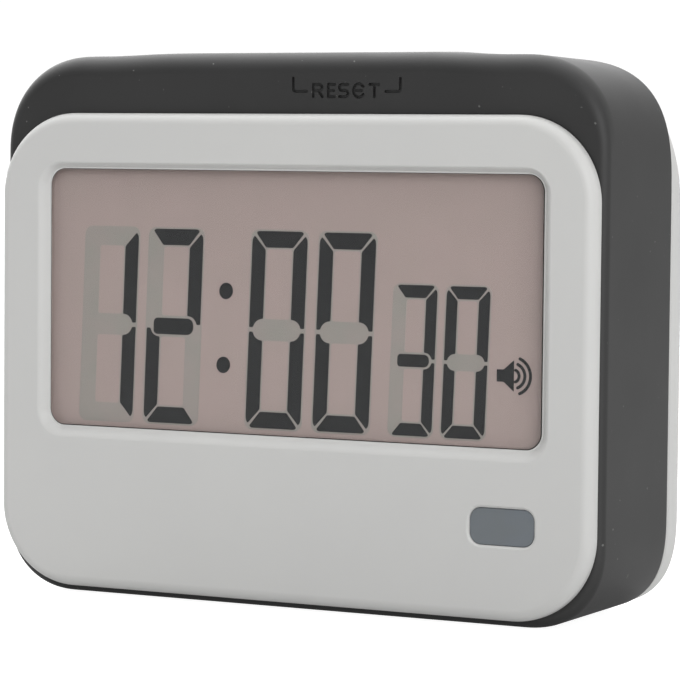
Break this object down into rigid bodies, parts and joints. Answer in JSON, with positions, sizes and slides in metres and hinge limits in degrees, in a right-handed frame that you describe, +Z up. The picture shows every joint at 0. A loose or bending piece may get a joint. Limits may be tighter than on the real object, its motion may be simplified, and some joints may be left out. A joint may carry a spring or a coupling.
{
  "type": "digital kitchen timer",
  "caption": "Tabletop digital kitchen timer: proud white front with a wide display, dark soft frame with a top reset key, and a rear cover with keys, magnets and battery door.",
  "frame": {"origin": "centre of the footprint, on the surface that the timer stands on", "axes": "+X to the right seen from the front, the display faces -Y, +Z up"},
  "size_m": [0.0912, 0.03, 0.0752],
  "materials": {
    "white_plastic": "fine matte moulded ABS",
    "soft_dark_plastic": "soft-touch, very matte",
    "clear_pane": "clear acrylic pane",
    "lcd_glass": "satin polariser over glass",
    "reflector_foil": "satin foil",
    "black_plastic": "fine moulded",
    "strip_rubber": "silicone",
    "smoke_lens": "translucent smoke, satin",
    "led_epoxy": "diffused epoxy",
    "board_green": "solder mask",
    "plated_steel": "zinc or nickel plated",
    "grey_plastic": "fine moulded",
    "ribbon_grey": "PVC ribbon",
    "buzzer_brass": "rolled sheet",
    "magnet_nickel": "nickel-plated magnet",
    "battery_wrap": "printed film over steel can"
  },
  "bodies": {
    "case": {"front_cover": "white_plastic", "display_lens": "clear_pane", "lcd_cell": "lcd_glass", "lcd_reflector": "reflector_foil", "lcd_frame": "black_plastic", "zebra_strip_upper": "strip_rubber", "zebra_strip_lower": "strip_rubber", "indicator_lens": "smoke_lens", "indicator_led": "led_epoxy", "circuit_board": "board_green", "controller_chip": "black_plastic", "clock_crystal": "plated_steel", "case_screw_1": "plated_steel", "case_screw_2": "plated_steel", "case_screw_3": "plated_steel", "case_screw_4": "plated_steel", "board_screw_1": "plated_steel", "board_screw_2": "plated_steel", "key_board_screw_1": "plated_steel", "key_board_screw_2": "plated_steel", "key_board_screw_3": "plated_steel", "middle_frame": "soft_dark_plastic", "reset_switch": "black_plastic", "rear_cover": "white_plastic", "hour_switch": "black_plastic", "minute_switch": "black_plastic", "second_switch": "black_plastic", "start_stop_switch": "black_plastic", "key_board": "board_green", "ribbon_cable": "ribbon_grey", "sound_switch": "plated_steel", "piezo_buzzer": "buzzer_brass", "magnet_left": "magnet_nickel", "magnet_right": "magnet_nickel", "battery_upper": "battery_wrap", "battery_lower": "battery_wrap", "negative_contact": "plated_steel", "positive_contact": "plated_steel", "bridge_contact": "plated_steel"},
    "reset": {"reset_key": "soft_dark_plastic", "reset_plunger": "grey_plastic"},
    "hour": {"hour_key": "grey_plastic", "hour_plunger": "grey_plastic"},
    "minute": {"minute_key": "grey_plastic", "minute_plunger": "grey_plastic"},
    "second": {"second_key": "grey_plastic", "second_plunger": "grey_plastic"},
    "start_stop": {"start_stop_key": "grey_plastic", "start_stop_plunger": "grey_plastic"},
    "sound": {"sound_slider": "grey_plastic"},
    "door": {"battery_door": "white_plastic"}
  },
  "joints": [
    {"name": "reset_press", "type": "slide", "parent": "case", "child": "reset", "axis": [0, 0, -1], "range_m": [0, 0.0005], "stiffness_N_per_m": 1500, "springref_m": -0.0003},
    {"name": "hour_press", "type": "slide", "parent": "case", "child": "hour", "axis": [0, -1, 0], "range_m": [0, 0.0005], "stiffness_N_per_m": 1200, "springref_m": -0.0003},
    {"name": "minute_press", "type": "slide", "parent": "case", "child": "minute", "axis": [0, -1, 0], "range_m": [0, 0.0005], "stiffness_N_per_m": 1200, "springref_m": -0.0003},
    {"name": "second_press", "type": "slide", "parent": "case", "child": "second", "axis": [0, -1, 0], "range_m": [0, 0.0005], "stiffness_N_per_m": 1200, "springref_m": -0.0003},
    {"name": "start_stop_press", "type": "slide", "parent": "case", "child": "start_stop", "axis": [0, -1, 0], "range_m": [0, 0.0005], "stiffness_N_per_m": 1200, "springref_m": -0.0003},
    {"name": "sound_slide", "type": "slide", "parent": "case", "child": "sound", "axis": [1, 0, 0], "range_m": [0, 0.003]},
    {"name": "door_hinge", "type": "hinge", "parent": "case", "child": "door", "pos_m": [0, 0.015, 0.03315], "axis": [1, 0, 0], "range_deg": [0, 80]}
  ]
}
